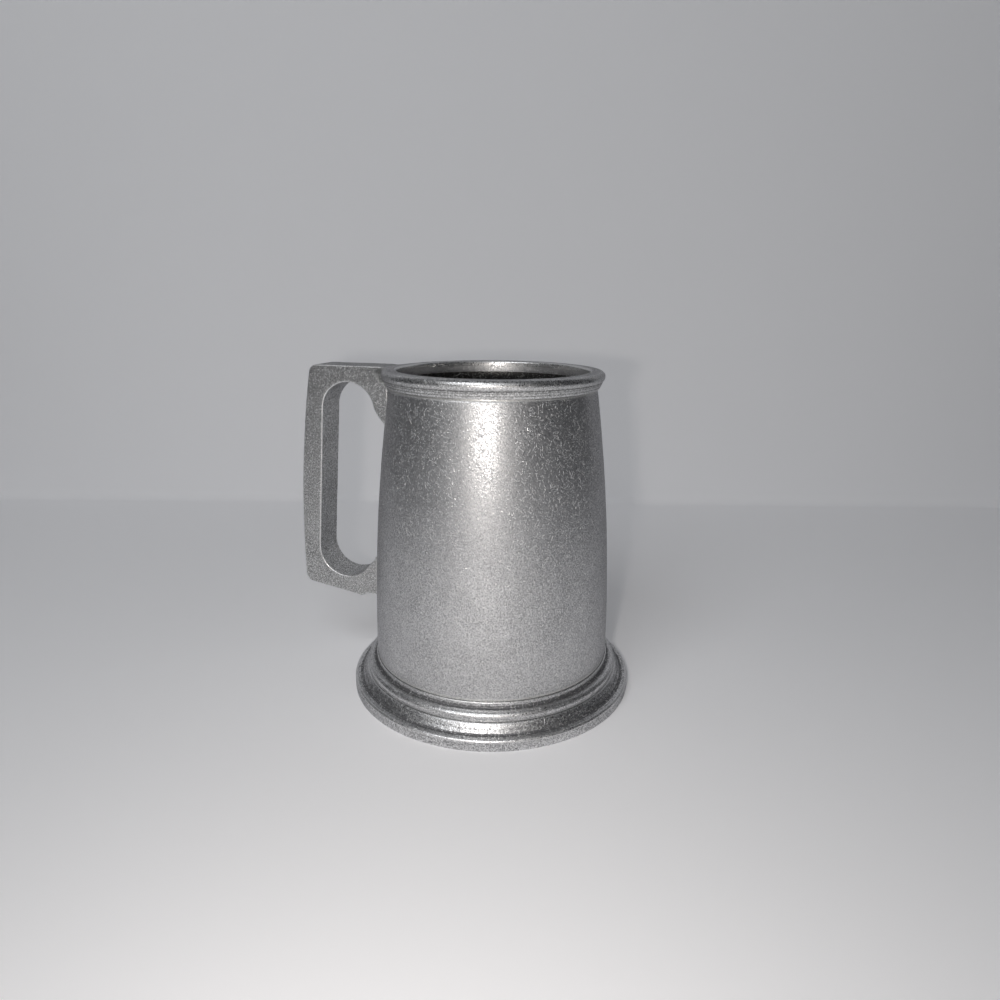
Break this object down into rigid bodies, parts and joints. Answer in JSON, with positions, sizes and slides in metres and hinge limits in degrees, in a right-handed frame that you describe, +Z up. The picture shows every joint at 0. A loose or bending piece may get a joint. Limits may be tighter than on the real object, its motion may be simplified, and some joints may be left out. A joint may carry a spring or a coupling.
{
  "type": "pewter tankard",
  "caption": "Lidless pewter drinking tankard: tapered drum between a rounded lip and a stepped foot, with a squared flat-sided cast handle.",
  "frame": {"origin": "on the drum's axis, at the level of the ring that the foot stands on", "axes": "+Z up along the drum's axis, the handle points along -X, Y across the handle's flat sides"},
  "size_m": [0.1306, 0.107, 0.12],
  "materials": {
    "drum_pewter": "cast pewter, tumbled to a grainy satin",
    "rim_pewter": "turned pewter, worn smooth at the lip",
    "foot_pewter": "turned pewter, satin, worn bright on the beads",
    "disc_pewter": "cast pewter, plain matt",
    "handle_pewter": "cast pewter, tumbled, worn on the edges",
    "solder": "soft solder, scraped flush"
  },
  "bodies": {
    "root": {"drum": "drum_pewter", "rim_moulding": "rim_pewter", "foot_moulding": "foot_pewter", "bottom_disc": "disc_pewter", "handle": "handle_pewter", "rim_seam": "solder", "foot_seam": "solder", "bottom_seam": "solder", "handle_upper_seam": "solder", "handle_lower_seam": "solder"}
  },
  "joints": []
}
